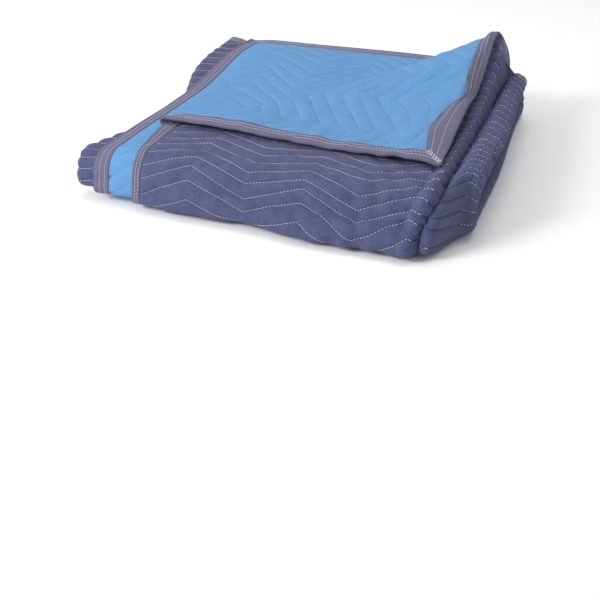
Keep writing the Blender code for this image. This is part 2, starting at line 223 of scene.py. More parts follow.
def second_edge_x(y):
    return SECOND_EDGE_X - 0.011 + 0.010 * hump(y, -0.080, 0.100) + 0.004 * ramp(-y, 0.12, 0.25)


def top_edge_x(y):
    return TOP_EDGE_X + 0.012 * ramp(-y, 0.175, 0.290)


def outer_inset(y):
    """The folds at the right swing in toward the back."""
    return 0.014 * ramp(y, -0.06, 0.26)


def panel_inset(b):
    return np.interp(b, [0, 1, 2, 3, 4, 5], [0, 0, 0.003, 0.004, 0.010, 0.012])


def eased(x, left, left_shift, right, right_shift):
    near_left = np.clip((BEND_X[0] - x) / (BEND_X[0] - left), 0.0, 1.0)
    near_right = np.clip((x - BEND_X[1]) / (right - BEND_X[1]), 0.0, 1.0)
    return x + left_shift * near_left + right_shift * near_right


def section(a, y, b):
    """x and depth below the pack's face at a place across."""
    k = np.minimum(a.astype(int), 6)
    t = a - k
    turn = np.pi * t
    inset = panel_inset(b)
    outer_in = inset + outer_inset(y)
    inner_in = inset + 0.5 * outer_inset(y) + 0.024 * ramp(b, 0.90, 1.30) * (1 - ramp(b, 1.8, 2.1))
    left = left_fold_x(y) + inset - LEFT_X
    fold = (THIRD - SECOND) / 2
    wide = (FOURTH - TOP) / 2
    top_left = top_edge_x(y) - TOP_EDGE_X
    second_left = second_edge_x(y) - SECOND_EDGE_X
    x = np.select(
        [k == 0, k == 1, k == 2, k == 3, k == 4, k == 5],
        [
            eased(
                SECOND_EDGE_X + t * (INNER_X - SECOND_EDGE_X), SECOND_EDGE_X, second_left, INNER_X, -inner_in
            ),
            INNER_X - inner_in + fold * np.sin(turn),
            eased(INNER_X + t * (LEFT_X - INNER_X), LEFT_X, left, INNER_X, -inner_in),
            LEFT_X + left - fold * np.sin(turn),
            eased(LEFT_X + t * (OUTER_X - LEFT_X), LEFT_X, left, OUTER_X, -outer_in),
            OUTER_X - outer_in + wide * np.sin(turn),
        ],
        eased(OUTER_X + t * (TOP_EDGE_X - OUTER_X), TOP_EDGE_X, top_left, OUTER_X, -outer_in),
    )
    depth = np.select(
        [k == 0, k == 1, k == 2, k == 3, k == 4, k == 5],
        [
            SECOND + 0 * t,
            (SECOND + THIRD) / 2 - fold * np.cos(turn),
            THIRD + 0 * t,
            (THIRD + FOURTH) / 2 - fold * np.cos(turn),
            FOURTH + 0 * t,
            (TOP + FOURTH) / 2 + wide * np.cos(turn),
        ],
        TOP + 0 * t,
    )
    return x, depth


def along(b, depth, a):
    """y and z of a place along the pack's spiral, at a depth below its face."""
    k = np.minimum(b.astype(int), 4)
    t = b - k
    back = np.interp(a, range(8), BACK_EDGE)
    turn = np.pi * t
    front_r, back_r = FRONT_R - depth, BACK_R - depth
    low = np.clip(2 * t - 1, 0, 1) * (k == 1)
    slump = np.sin(np.pi * low) ** 1.2
    forward = (0.014 + 0.017 * np.interp(a, SLUMP_A, SLUMP_SHARE)) * slump * front_r / FRONT_R
    y = np.select(
        [k == 0, k == 1, k == 2, k == 3],
        [
            back + t * (FRONT_CY - back),
            FRONT_CY - front_r * np.sin(turn) - forward,
            FRONT_CY + t * (BACK_CY - FRONT_CY),
            BACK_CY + back_r * np.sin(turn),
        ],
        BACK_CY + t * (TUCKED_Y - BACK_CY),
    )
    z = np.select(
        [k == 0, k == 1, k == 2, k == 3],
        [HEIGHT - depth, FRONT_R + front_r * np.cos(turn), depth, BACK_R - back_r * np.cos(turn)],
        2 * BACK_R - depth,
    )
    z = z - 0.22 * np.sin(np.pi * low) * (z - depth) * (k == 1)
    return y, z


def rise_share(x, y):
    waves = 0.012 * np.sin(9 * x + 7 * y) + 0.010 * np.sin(13 * y - 5 * x + 1.0)
    left = hump(x, -0.270, 0.030)
    back_left = hump(y, 0.200, 0.085) * ramp(-x, -0.02, 0.22)
    back_left = back_left + 0.9 * hump(y, 0.300, 0.045) * ramp(-x, 0.262, 0.285)
    dip = hump(y, 0.030, 0.070) * ramp(-x, 0.02, 0.20)
    back = ramp(y, 0.10, 0.30) * (0.45 + 0.55 * ramp(x, -0.20, 0.05)) * (1 - ramp(x, 0.12, 0.24))
    return waves - 0.060 * left + 0.150 * back_left - 0.050 * dip + 0.130 * back


def valley_x(y, b):
    return 0.2445 - 0.004 * ramp(y, -0.10, 0.25) - 0.017 * ramp(b, 1.0, 1.65)


def back_rise(x, y):
    """The ridge beside the valley rises to the back, into the roll of the turned corner."""
    height = 7 * ramp(y, -0.06, 0.06) + 14 * ramp(y, 0.07, 0.16) + 24 * ramp(y, 0.14, 0.235)
    return height * MM * ramp(x, 0.150, 0.205) * (1 - ramp(x, 0.219, 0.2425))


def top_form(x, y, b, valleys=1.0):
    """How deep the top layer is drawn into the pack, or how far it stands out of it."""
    middle = valley_x(y, b)
    valley = 12.5 * MM * hump(x, middle, 0.0062) * valleys
    ridge = -5.5 * MM * hump(x, middle - 0.0110, 0.0080) * (1 - 0.5 * ramp(b, 1.0, 1.4))
    groove = 2.5 * MM * hump(x, middle - 0.0255, 0.0055) * valleys
    strip = -2.5 * MM * hump(x, 0.2635 - 0.9 * outer_inset(y), 0.0085) * ramp(OUTER_X - x, 0.0, 0.007)
    rise = -back_rise(x, y) * valleys
    return (1 - ramp(b, 1.6, 2.0)) * (valley + ridge + groove + strip + rise)


def corner_chamfer(x, b):
    """The outer strip stands back from the front at the right."""
    near_front = ramp(b, 0.60, 1.15) * (1 - ramp(b, 1.85, 2.3)) + ramp(b, 4.65, 5.0)
    return 0.074 * ramp(x, 0.236, 0.272) * near_front


def pack_point(a, b):
    y, _ = along(b, np.full_like(a, SECOND), a)
    x, depth = section(a, y, b)
    on_top = (a >= 6) & (b <= 2)
    near_fold = (a > 5) & (a < 6) & (b <= 2)
    depth = depth + np.where(on_top, top_form(x, y, b), 0.0)
    depth = depth - np.where(on_top, puff(x, y), 0.0)
    side = noise(y, b * 0.1, 0.07, 9, 2) * 1.6 * MM
    x = x + np.where(near_fold, side * np.sin(np.pi * np.clip(a - 5, 0, 1)), 0.0)
    y, z = along(b, depth, a)
    y = y + corner_chamfer(x, b)
    return np.stack([x, y, np.maximum(z * (1 + rise_share(x, y)), HALF)], -1)


def puff(x, y):
    """Uneven padding of the top layer, and a few soft wrinkles that run to the right front corner."""
    across = (x - 0.235) * 0.80 + (y + 0.300) * 0.60
    wave = np.sin(across * 2 * np.pi / 0.034 + 1.5 * np.sin(18 * x + 9 * y))
    near = ramp(x, 0.02, 0.20) * ramp(-y, 0.10, 0.22) * (1 - ramp(x, 0.225, 0.240))
    even = noise(x, y, 0.16, 5, 3) * 1.3 + noise(x, y, 0.045, 12, 2) * 0.7
    return (even * ramp(OUTER_X - x, 0.0, 0.05) + 1.1 * wave * near) * MM


def top_height(x, y, valleys=1.0):
    zero = np.zeros_like(x)
    return (HEIGHT - HALF - top_form(x, y, zero, valleys) + puff(x, y)) * (1 + rise_share(x, y))


def corner_shares(x, y):
    """Share along the corner's fold, and beyond it: 0 on the fold, 1 at the tip, less before it."""
    dx, dy = x - CORNER[0], y - CORNER[1]
    cross = dx * FOLD[1] - dy * FOLD[0]
    span = (FOLD_A[0] - CORNER[0]) * FOLD[1] - (FOLD_A[1] - CORNER[1]) * FOLD[0]
    safe = np.where(np.abs(cross) < 1e-9, 1e-9, cross)
    reach = span / safe
    met_x, met_y = CORNER[0] + dx * reach, CORNER[1] + dy * reach
    share = ((met_x - FOLD_A[0]) * FOLD[0] + (met_y - FOLD_A[1]) * FOLD[1]) / FOLD.dot(FOLD)
    return np.clip(share, 0.0, 1.0), 1 - safe / span


def corner_point(x, y):
    share, beyond = corner_shares(x, y)
    start = FOLD_A + share[..., None] * FOLD
    crest = start + CREST * ramp(share, 0.25, 1.0)[..., None] + BOW * hump(share, 0.27, 0.13)[..., None]
    length = np.linalg.norm(start - CORNER, axis=-1)
    radius = roll_radius(share)
    gone = beyond * length
    begin = start.copy()
    begin[..., 0] = eased(start[..., 0], TOP_EDGE_X, 0.0, OUTER_X, -outer_inset(start[..., 1]))
    ground = top_height(begin[..., 0], begin[..., 1])
    raised = top_height(start[..., 0], start[..., 1], 0.0)
    turn = np.clip(gone / radius, -0.3, math.pi)
    back = begin - TIP
    back = back / np.linalg.norm(back, axis=-1)[..., None]
    lean = ((1 - np.cos(turn)) / 2)[..., None]
    rolled = begin + (crest - begin) * lean + back * (radius * np.sin(turn))[..., None]
    rolled_z = ground + (raised - ground) * lean[..., 0] + radius * (1 - np.cos(turn))
    fall = np.clip((gone - math.pi * radius) / (length - math.pi * radius), 0.0, 1.0)
    laid = crest + fall[..., None] * (TIP - crest)
    lift = REST + (2 * radius - REST) * fall_share(fall)
    along_edge = np.clip((CORNER[1] - y) / 0.030, 0.0, None)
    bulge = 7.5 * MM * along_edge * np.exp(1 - along_edge)
    bulge = bulge * ramp(fall, 0.12, 0.40) * (1 - 0.5 * ramp(fall, 0.8, 1.0))
    from_edge = CORNER[1] - y
    curl = ramp(gone, 0.55 * math.pi * radius, math.pi * radius) * (1 - ramp(fall, 0.28, 0.55))
    rolled_in = 0.011 * curl + 0.014 * hump(fall, 0.43, 0.10) - 0.008 * hump(fall, 0.72, 0.12)
    aside = rolled_in * (ramp(from_edge, 0.0, 0.026) - ramp(from_edge, 0.030, 0.130))
    hang = 0.011 * curl * ramp(fall, 0.03, 0.16) + 0.008 * hump(fall, 0.43, 0.09)
    droop = hang * (1 - ramp(from_edge, 0.0, 0.030))
    near_tip = hump(fall, 1.0, 0.10)
    past_crest = ramp(fall, 0.0, 0.12)
    sag = -2.0 * MM * hump(share, 0.45, 0.2) * hump(fall, 0.35, 0.25) * past_crest
    wrinkle = noise(laid[..., 0], laid[..., 1], 0.11, 21, 3) * 2.0 * MM * ramp(fall, 0.02, 0.25)
    lift = lift + bulge + sag + wrinkle * (1 - near_tip)
    blend = ramp(fall, 0.0, 0.2)
    lift = lift + 4.5 * MM * hump(laid[..., 0], -0.080, 0.080) * (1 - ramp(share, 0.0, 0.30)) * past_crest
    under = raised * (1 - blend) + top_height(laid[..., 0], laid[..., 1], 0.0) * blend
    on_roll = gone < math.pi * radius
    place = np.where(on_roll[..., None], rolled, laid)
    z = np.where(on_roll, rolled_z, under + lift) - droop
    place = place + np.stack([aside, 0 * aside], -1)
    return np.concatenate([place, z[..., None]], -1)


def numbers_at(p, q):
    return np.interp(p, P, range(8)), np.interp(q, Q, range(6))


def flat_place(a, b):
    """Where a place of the top layer would lie with the corner laid flat."""
    y, _ = along(b, np.zeros_like(a), a)
    t = np.clip(a - 6, 0, 1)
    return OUTER_X + t * (TOP_EDGE_X - OUTER_X), y


def is_turned(p, q):
    a, b = numbers_at(p, q)
    x, y = flat_place(a, b)
    _, beyond = corner_shares(x, y)
    return (a >= 6) & (b <= 1) & (beyond > 0)


def moved(point_at, u, v, step, off, u_range, v_range):
    u0, u1 = np.maximum(u - step, u_range[0]), np.minimum(u + step, u_range[1])
    v0, v1 = np.maximum(v - step, v_range[0]), np.minimum(v + step, v_range[1])
    normal = np.cross(point_at(u1, v) - point_at(u0, v), point_at(u, v1) - point_at(u, v0))
    size = np.linalg.norm(normal, axis=-1)[..., None]
    return point_at(u, v) + off[..., None] * normal / np.maximum(size, 1e-15) - MIDDLE


def spot(p, q, off):
    """Places in the row frame for places on the plan, off metres out on the cover's side."""
    p, q = np.asarray(p, float), np.asarray(q, float)
    off = np.broadcast_to(np.asarray(off, float), p.shape)
    a, b = numbers_at(p, q)
    turned = is_turned(p, q)
    out = moved(pack_point, a, b, 0.002, off, (0, 7), (0, 5))
    if turned.any():
        x, y = flat_place(a[turned], b[turned])
        out[turned] = moved(corner_point, x, y, 0.0005, off[turned], (-9, 9), (-9, 9))
    return out


def top_p(x):
    """Place on the plan of an x of the top layer."""
    return P[6] + (OUTER_X - x) / (OUTER_X - TOP_EDGE_X) * P_LONG[6]


def second_p(x):
    return (x - SECOND_EDGE_X) / (INNER_X - SECOND_EDGE_X) * P_LONG[0]


# Stitch rows on the plan. Each pattern gives the q of row k at a place p.
def charted(table, pitch, place):
    """Row function of a table: its rows, and rows at an even pitch before and after them."""
    turns = sorted((place(x), values) for x, values in table)
    at = [turn[0] for turn in turns]
    count = len(turns[0][1])

    def row(p, k):
        held = min(max(k, 0), count - 1)
        base = np.interp(p, at, [values[held] for _, values in turns])
        return (base + (k - held) * pitch) * MM

    return row


def row_plain(p, k):
    swing = np.abs(((p - P[3]) / TURN_STEP) % 2.0 - 1.0)
    return SWING * swing + PLAIN_ROW_PITCH * k


PATTERNS = {
    # name: (row function, first row, last row)
    "top": (charted(TOP_ROWS, TOP_ROW_PITCH, top_p), -19, 11),
    "corner": (charted(CORNER_ROWS, CORNER_ROW_PITCH, top_p), -6, 15),
    "second": (charted(SECOND_ROWS, SECOND_ROW_PITCH, second_p), -4, 20),
    "plain": (row_plain, -3, 72),
}


def pattern_of(p, q):
    """Which pattern a place has: 0 none, 1 top, 2 corner, 3 second, 4 plain."""
    turned = is_turned(p, q)
    kind = np.full(p.shape, 4)
    kind = np.where((p > P[5] + 0.002) & (q < Q[2] + 0.02), 1, kind)
    kind = np.where(p < P[1], 3, kind)
    return np.where(turned, 2, kind)


def row_phase(p, q):
    """Running number of a place among its stitch rows: whole numbers are on a row."""
    kind = pattern_of(p, q)
    phase = np.zeros(p.shape)
    for number, (row, first, last) in enumerate(PATTERNS.values(), 1):
        mine = kind == number
        if not mine.any():
            continue
        pm, qm = p[mine], q[mine]
        found = np.full(pm.shape, float(first))
        low = row(pm, first)
        for k in range(first, last):
            high = row(pm, k + 1)
            between = (qm >= low) & (qm < high)
            found = np.where(between, k + (qm - low) / np.maximum(high - low, 1e-6), found)
            low = high
        phase[mine] = found
    return phase


def tuft(p, q):
    """Height of the padding between the rows, from 0 on a row to about 1."""
    phase = row_phase(p, q)
    t = phase - np.floor(phase)
    dome = np.sin(np.pi * t) ** 0.62
    uneven = 0.85 + 0.45 * noise(p, q, 0.050, 33, 3)
    pucker = 0.10 * np.sin(p * 2 * np.pi / 0.0125 + 2.5 * np.sin(q * 140) + np.floor(phase) * 2.1)
    shape = dome * uneven + pucker * (1 - dome) * ramp(dome, 0.0, 0.35)
    edge = np.minimum(np.minimum(p, P_END - p), np.minimum(q, Q_END - q))
    shape = shape * ramp(edge, BINDING_WIDTH - 0.002, BINDING_WIDTH + 0.010)
    flat_below = 1 - ramp(q, Q[2] - 0.020, Q[2] + 0.005) * (1 - ramp(q, Q[3] - 0.01, Q[3] + 0.02))
    hidden = (q > Q[2] + 0.005) & (q < Q[3] - 0.01)
    return np.where(hidden, 0.0, shape * np.clip(flat_below, 0, 1))


def lining_shows(p, q):
    return (p < second_p(0.190)) | is_turned(p, q)


def cover_off(p, q):
    return HALF + TUFT["cover"] * tuft(p, q)


def lining_off(p, q):
    return -HALF - TUFT["lining"] * tuft(p, q) * lining_shows(p, q)


def binding_profile(u):
    """Half thickness of the tape at a distance from its outer edge."""
    t = np.clip(u / (3.0 * MM), 0.0, 1.0)
    round_edge = 0.28 + 0.72 * np.sqrt(np.maximum(1 - (1 - t) ** 2, 0))
    groove = sum(hump(u, row, 1.1 * MM) for row in BINDING_ROWS)
    return BINDING_HALF * round_edge - 0.45 * MM * groove


def binding_off(p, q):
    edge = np.minimum(np.minimum(p, P_END - p), np.minimum(q, Q_END - q))
    ripple = 0.25 * MM * noise(p, q, 0.02, 41, 2) * ramp(edge, 0.0, 0.004)
    return binding_profile(edge) + ripple


class Plan:
    def __init__(self):
        self.points = []
        self.lines = []

    def line(self, places):
        places = [(round(float(p), 6), round(float(q), 6)) for p, q in places]
        first = len(self.points)
        self.points += [Vector(place) for place in places]
        self.lines += [(first + k, first + k + 1) for k in range(len(places) - 1)]

    def runs(self, p, q, keep):
        """The stretches of a line that are kept."""
        cut = np.flatnonzero(np.diff(np.concatenate([[0], keep.astype(int), [0]])))
        for start, end in zip(cut[::2], cut[1::2]):
            if end - start > 1:
                self.line(zip(p[start:end], q[start:end]))

    def triangulated(self):
        points, _, faces, _, _, _ = delaunay_2d_cdt(self.points, self.lines, [], 0, 2e-5)
        return np.array([tuple(point) for point in points]), np.array(faces)


def spread(low, high, step):
    return np.linspace(low, high, max(2, int(round((high - low) / step)) + 1))


def fold_steps(starts, lengths, folds, count):
    found = []
    for k in folds:
        found += [starts[k] + lengths[k] * i / count for i in range(count + 1)]
    return found


BINDING_LINES = np.array((0.0, 0.5, 1.3, 2.6, 5.5, 8.6, 10.0, 11.4, 14.0, 16.6, 18.0, 19.4, 22.5, 25.0)) * MM


def stations(ends, steps):
    """Places along an edge, with a step for each stretch between two ends."""
    runs = [spread(low, high, step) for low, high, step in zip(ends, ends[1:], steps)]
    return np.unique(np.round(np.concatenate(runs), 5))


def make_plan():
    plan = Plan()
    borders = (BINDING_WIDTH, BINDING_WIDTH + 0.6 * MM)
    # Coarse lines that every layer shares
    p_all = list(P) + fold_steps(P, P_LONG, (1, 3), 6) + fold_steps(P, P_LONG, (5,), 10)
    for k in (0, 2, 4, 6):
        p_all += list(spread(P[k], P[k + 1], 0.035))
    q_all = list(Q) + fold_steps(Q, Q_LONG, (1, 3), 16)
    for k in (0, 2, 4):
        q_all += list(spread(Q[k], Q[k + 1], 0.035))
    for border in borders:
        p_all += [border, P_END - border]
        q_all += [border, Q_END - border]
    p_all = np.unique(np.round(np.clip(p_all, 0, P_END), 5))
    q_all = np.unique(np.round(np.clip(q_all, 0, Q_END), 5))
    dense_p = [(0.0, P[1]), (P[5] + 0.002, P_END)]
    for q in q_all:
        inside = np.ones(len(p_all), bool)
        if 0.030 < q < Q[2] + 0.02:
            for low, high in dense_p:
                inside &= ~((p_all > low + 0.027) & (p_all < high - 0.027))
        plan.runs(p_all, np.full(len(p_all), q), inside)
    for p in p_all:
        inside = np.ones(len(q_all), bool)
        if any(low + 0.027 < p < high - 0.027 for low, high in dense_p):
            inside &= ~((q_all > 0.030) & (q_all < Q[2] + 0.02))
        plan.runs(np.full(len(q_all), p), q_all, inside)
    # Exact outline and the lines of the bindings
    p_ends = (0.0, P[1], P[2], P[3], P[4], P[5], P_END)
    p_steps = (0.006, 0.002, 0.012, 0.0015, 0.012, 0.005)
    p_edge = stations(p_ends, p_steps)
    q_edge = stations((0.0, Q[2], Q[3], Q[4], Q_END), (0.005, 0.02, 0.006, 0.02))
    for u in BINDING_LINES:
        plan.runs(p_edge, np.full(len(p_edge), u), (p_edge >= u) & (p_edge <= P_END - u))
        plan.runs(np.full(len(q_edge), u), q_edge, (q_edge >= u) & (q_edge <= Q_END - u))
        plan.runs(np.full(len(q_edge), P_END - u), q_edge, (q_edge >= u) & (q_edge <= Q_END - u))
    for u in BINDING_LINES[::3]:
        coarse = p_all[(p_all >= u) & (p_all <= P_END - u)]
        plan.line([(p, Q_END - u) for p in coarse])
    # Stitch rows with the padding between them
    shares = (0.0, 0.06, 0.18, 0.38, 0.62, 0.82, 0.94)
    seam = BINDING_WIDTH + 0.6 * MM
    stretches = {
        "top": [(P[5] + 0.003, P_END - seam, 0.0048)],
        "corner": [(P[6], P_END - seam, 0.0058)],
        "second": [(seam, P[1] - 0.001, 0.0068)],
        "plain": [(P[3] - 0.045, P[4] + 0.045, 0.0045), (P[5] - 0.012, P[6] + 0.012, 0.0045)],
    }
    few = (0.0, 0.08, 0.28, 0.72, 0.92)
    used = {"top": shares, "corner": few, "second": few, "plain": (0.0, 0.15, 0.5, 0.85)}
    for number, (name, (row, first, last)) in enumerate(PATTERNS.items(), 1):
        for low, high, step in stretches[name]:
            p = spread(low, high, step)
            turns = {"top": TOP_ROWS, "corner": CORNER_ROWS}.get(name, ())
            corners = [[top_p(x)] for x, _ in turns if low < top_p(x) < high]
            p = np.unique(np.round(np.concatenate([p] + corners), 5))
            for k in range(first, last):
                for share in used[name]:
                    q = row(p, k) * (1 - share) + row(p, k + 1) * share
                    keep = (q > seam) & (q < Q_END - seam) & (pattern_of(p, q) == number)
                    keep &= (q < Q[2] + 0.015) if name in ("top", "second") else (q < Q_END)
                    if name == "plain":
                        keep &= (p < P[5] + 0.002) | (q > Q[2] + 0.02)
                    plan.runs(p, q, keep)
    # The turned corner's roll
    for angle in np.linspace(0, math.pi, 15):
        share = np.linspace(0, 1, 110)
        start = FOLD_A + share[:, None] * FOLD
        out = CORNER - start
        out = out / np.linalg.norm(out, axis=-1)[:, None] * (roll_radius(share) * angle)[:, None]
        place = start + out
        plan.line(zip(np.minimum(top_p(place[:, 0]), P_END), np.maximum(CORNER[1] - place[:, 1], 0.0)))
    return plan.triangulated()


def closed_mesh(name, points, faces, outer, inner):
    """A closed piece over some triangles of the plan, between two distances from the middle."""
    used, index = np.unique(faces, return_inverse=True)
    faces = index.reshape(-1, 3)
    p, q = points[used].T
    places = np.concatenate([spot(p, q, outer(p, q)), spot(p, q, inner(p, q))])
    count = len(p)
    edges = np.concatenate([faces[:, [0, 1]], faces[:, [1, 2]], faces[:, [2, 0]]])
    key = edges[:, 0] * count + edges[:, 1]
    back_key = edges[:, 1] * count + edges[:, 0]
    rim = edges[~np.isin(key, back_key)]
    sides = np.concatenate(
        [
            np.stack([rim[:, 1], rim[:, 0], rim[:, 0] + count], -1),
            np.stack([rim[:, 1], rim[:, 0] + count, rim[:, 1] + count], -1),
        ]
    )
    solid = np.concatenate([faces, faces[:, ::-1] + count, sides])
    corners = places[solid]
    volume = np.einsum("ij,ij->i", corners[:, 0], np.cross(corners[:, 1], corners[:, 2])).sum()
    if volume < 0:
        solid = solid[:, ::-1]
    mesh = bpy.data.meshes.new(name)
    mesh.from_pydata(places.tolist(), [], solid.tolist())
    plan_p, plan_q = np.concatenate([p, p]), np.concatenate([q, q])
    uv = mesh.uv_layers.new(name="plan")
    loops = np.empty(len(mesh.loops), np.int32)
    mesh.loops.foreach_get("vertex_index", loops)
    uv.data.foreach_set("uv", np.stack([plan_p[loops], plan_q[loops]], -1).astype(np.float32).ravel())
    phase = mesh.attributes.new("row", "FLOAT", "POINT")
    phase.data.foreach_set("value", row_phase(plan_p, plan_q).astype(np.float32))
    mesh.shade_smooth()
    return mesh


def outward(value):
    return lambda p, q: np.full(p.shape, value)


# Materials
def node(tree, kind, **values):
    made = tree.nodes.new(kind)
    for key, value in values.items():
        setattr(made, key, value)
    return made


def cloth_material(name, colour, dark, weave_scale, weave_strength, sheen, painted_row_shade):
    made = bpy.data.materials.new(name)
    made.use_nodes = True
    tree = made.node_tree
    shader = tree.nodes["Principled BSDF"]
    link = tree.links.new
    shader.inputs["Roughness"].default_value = 0.92
    shader.inputs["Specular IOR Level"].default_value = 0.18
    shader.inputs["Sheen Weight"].default_value = sheen
    shader.inputs["Sheen Roughness"].default_value = 0.55
    plan = node(tree, "ShaderNodeUVMap", uv_map="plan")
    # soft mottling of the nap
    mottle = node(tree, "ShaderNodeTexNoise")
    mottle.inputs["Scale"].default_value = 60.0
    mottle.inputs["Detail"].default_value = 5.0
    mottle.inputs["Roughness"].default_value = 0.62
    link(plan.outputs["UV"], mottle.inputs["Vector"])
    fibre = node(tree, "ShaderNodeTexNoise")
    fibre.inputs["Scale"].default_value = 430.0
    fibre.inputs["Detail"].default_value = 4.0
    fibre.inputs["Roughness"].default_value = 0.7
    link(plan.outputs["UV"], fibre.inputs["Vector"])
    mix = node(tree, "ShaderNodeMix", data_type="RGBA")
    mix.inputs[6].default_value = dark
    mix.inputs[7].default_value = colour
    total = node(tree, "ShaderNodeMath", operation="MULTIPLY_ADD")
    total.inputs[1].default_value = 1.30
    link(fibre.outputs["Fac"], total.inputs[0])
    share = node(tree, "ShaderNodeMath", operation="MULTIPLY_ADD")
    share.inputs[1].default_value = 0.90
    share.inputs[2].default_value = -0.50
    link(mottle.outputs["Fac"], share.inputs[0])
    link(share.outputs[0], total.inputs[2])
    link(total.outputs[0], mix.inputs[0])
    # painted shade: the colour is darker along the stitch rows, standing in for shade in the grooves where
    # the cloth is drawn in
    row = node(tree, "ShaderNodeAttribute", attribute_name="row")
    near = node(tree, "ShaderNodeMath", operation="PINGPONG")
    near.inputs[1].default_value = 0.5
    link(row.outputs["Fac"], near.inputs[0])
    reach = node(tree, "ShaderNodeMapRange", interpolation_type="SMOOTHSTEP")
    reach.inputs["From Min"].default_value = 0.0
    reach.inputs["From Max"].default_value = 0.085
    reach.inputs["To Min"].default_value = painted_row_shade
    reach.inputs["To Max"].default_value = 1.0
    link(near.outputs[0], reach.inputs["Value"])
    shade = node(tree, "ShaderNodeMix", data_type="RGBA", blend_type="MULTIPLY")
    shade.inputs[0].default_value = 1.0
    link(mix.outputs[2], shade.inputs[6])
    link(reach.outputs["Result"], shade.inputs[7])
    link(shade.outputs[2], shader.inputs["Base Color"])
    # weave and nap
    across = node(tree, "ShaderNodeTexWave", wave_type="BANDS", bands_direction="X")
    along_y = node(tree, "ShaderNodeTexWave", wave_type="BANDS", bands_direction="Y")
    for wave in (across, along_y):
        wave.inputs["Scale"].default_value = weave_scale
        wave.inputs["Distortion"].default_value = 1.2
        wave.inputs["Detail"].default_value = 1.0
        link(plan.outputs["UV"], wave.inputs["Vector"])
    woven = node(tree, "ShaderNodeMath", operation="MULTIPLY")
    link(across.outputs["Fac"], woven.inputs[0])
    link(along_y.outputs["Fac"], woven.inputs[1])
    bump_weave = node(tree, "ShaderNodeBump")
    bump_weave.inputs["Strength"].default_value = weave_strength
    bump_weave.inputs["Distance"].default_value = 0.0004
    link(woven.outputs[0], bump_weave.inputs["Height"])
    nap = node(tree, "ShaderNodeTexNoise")
    nap.inputs["Scale"].default_value = 160.0
    nap.inputs["Detail"].default_value = 4.0
    link(plan.outputs["UV"], nap.inputs["Vector"])
    bump_nap = node(tree, "ShaderNodeBump")
    bump_nap.inputs["Strength"].default_value = 0.35
    bump_nap.inputs["Distance"].default_value = 0.0016
    link(nap.outputs["Fac"], bump_nap.inputs["Height"])
    link(bump_weave.outputs["Normal"], bump_nap.inputs["Normal"])
    link(bump_nap.outputs["Normal"], shader.inputs["Normal"])
    return made


def plain_material(name, colour, roughness):
    made = bpy.data.materials.new(name)
    made.use_nodes = True
    shader = made.node_tree.nodes["Principled BSDF"]
    shader.inputs["Base Color"].default_value = colour
    shader.inputs["Roughness"].default_value = roughness
    shader.inputs["Specular IOR Level"].default_value = 0.2
    return made


# name, colour, dark colour, weave scale and strength, sheen, painted shade along the stitch rows
NAVY = cloth_material(
    "navy_cloth", (0.112, 0.121, 0.255, 1), (0.030, 0.032, 0.085, 1), 900, 0.5, 0.08, 0.66
)
BLUE = cloth_material(
    "light_blue_cloth", (0.135, 0.330, 0.620, 1), (0.085, 0.225, 0.440, 1), 900, 0.4, 0.04, 0.90
)
TAPE = cloth_material("binding_tape", (0.195, 0.190, 0.300, 1), (0.125, 0.120, 0.210, 1), 700, 0.9, 0.05, 1.0)
THREAD = plain_material("thread", (0.640, 0.600, 0.640, 1), 0.7)
PALE_THREAD = plain_material("thread_on_lining", (0.360, 0.600, 0.800, 1), 0.8)


def add(name, mesh, material, slot, *nodes):
    mesh.materials.clear()
    mesh.materials.append(material)
    piece = bpy.data.objects.new(name, mesh)
    bpy.context.scene.collection.objects.link(piece)
    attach(piece, "root")
    if nodes:
        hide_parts(*nodes)
    return piece


# Stitches: short tapered lengths of thread, laid along lines of the plan
def stitched_line(p, q):
    """Ends of the stitches along a polyline of the plan, in plan lengths."""
    ends = []
    steps = np.hypot(np.diff(p), np.diff(q))
    run = np.concatenate([[0], np.cumsum(steps)])
    pitch = STITCH["length"] + STITCH["gap"]
    count = int(run[-1] / pitch)
    if count < 1:
        return np.zeros((0, 4))
    starts = np.arange(count) * pitch
    for offset in (0.0, STITCH["length"]):
        ends += [np.interp(starts + offset, run, p), np.interp(starts + offset, run, q)]
    return np.stack(ends, -1)


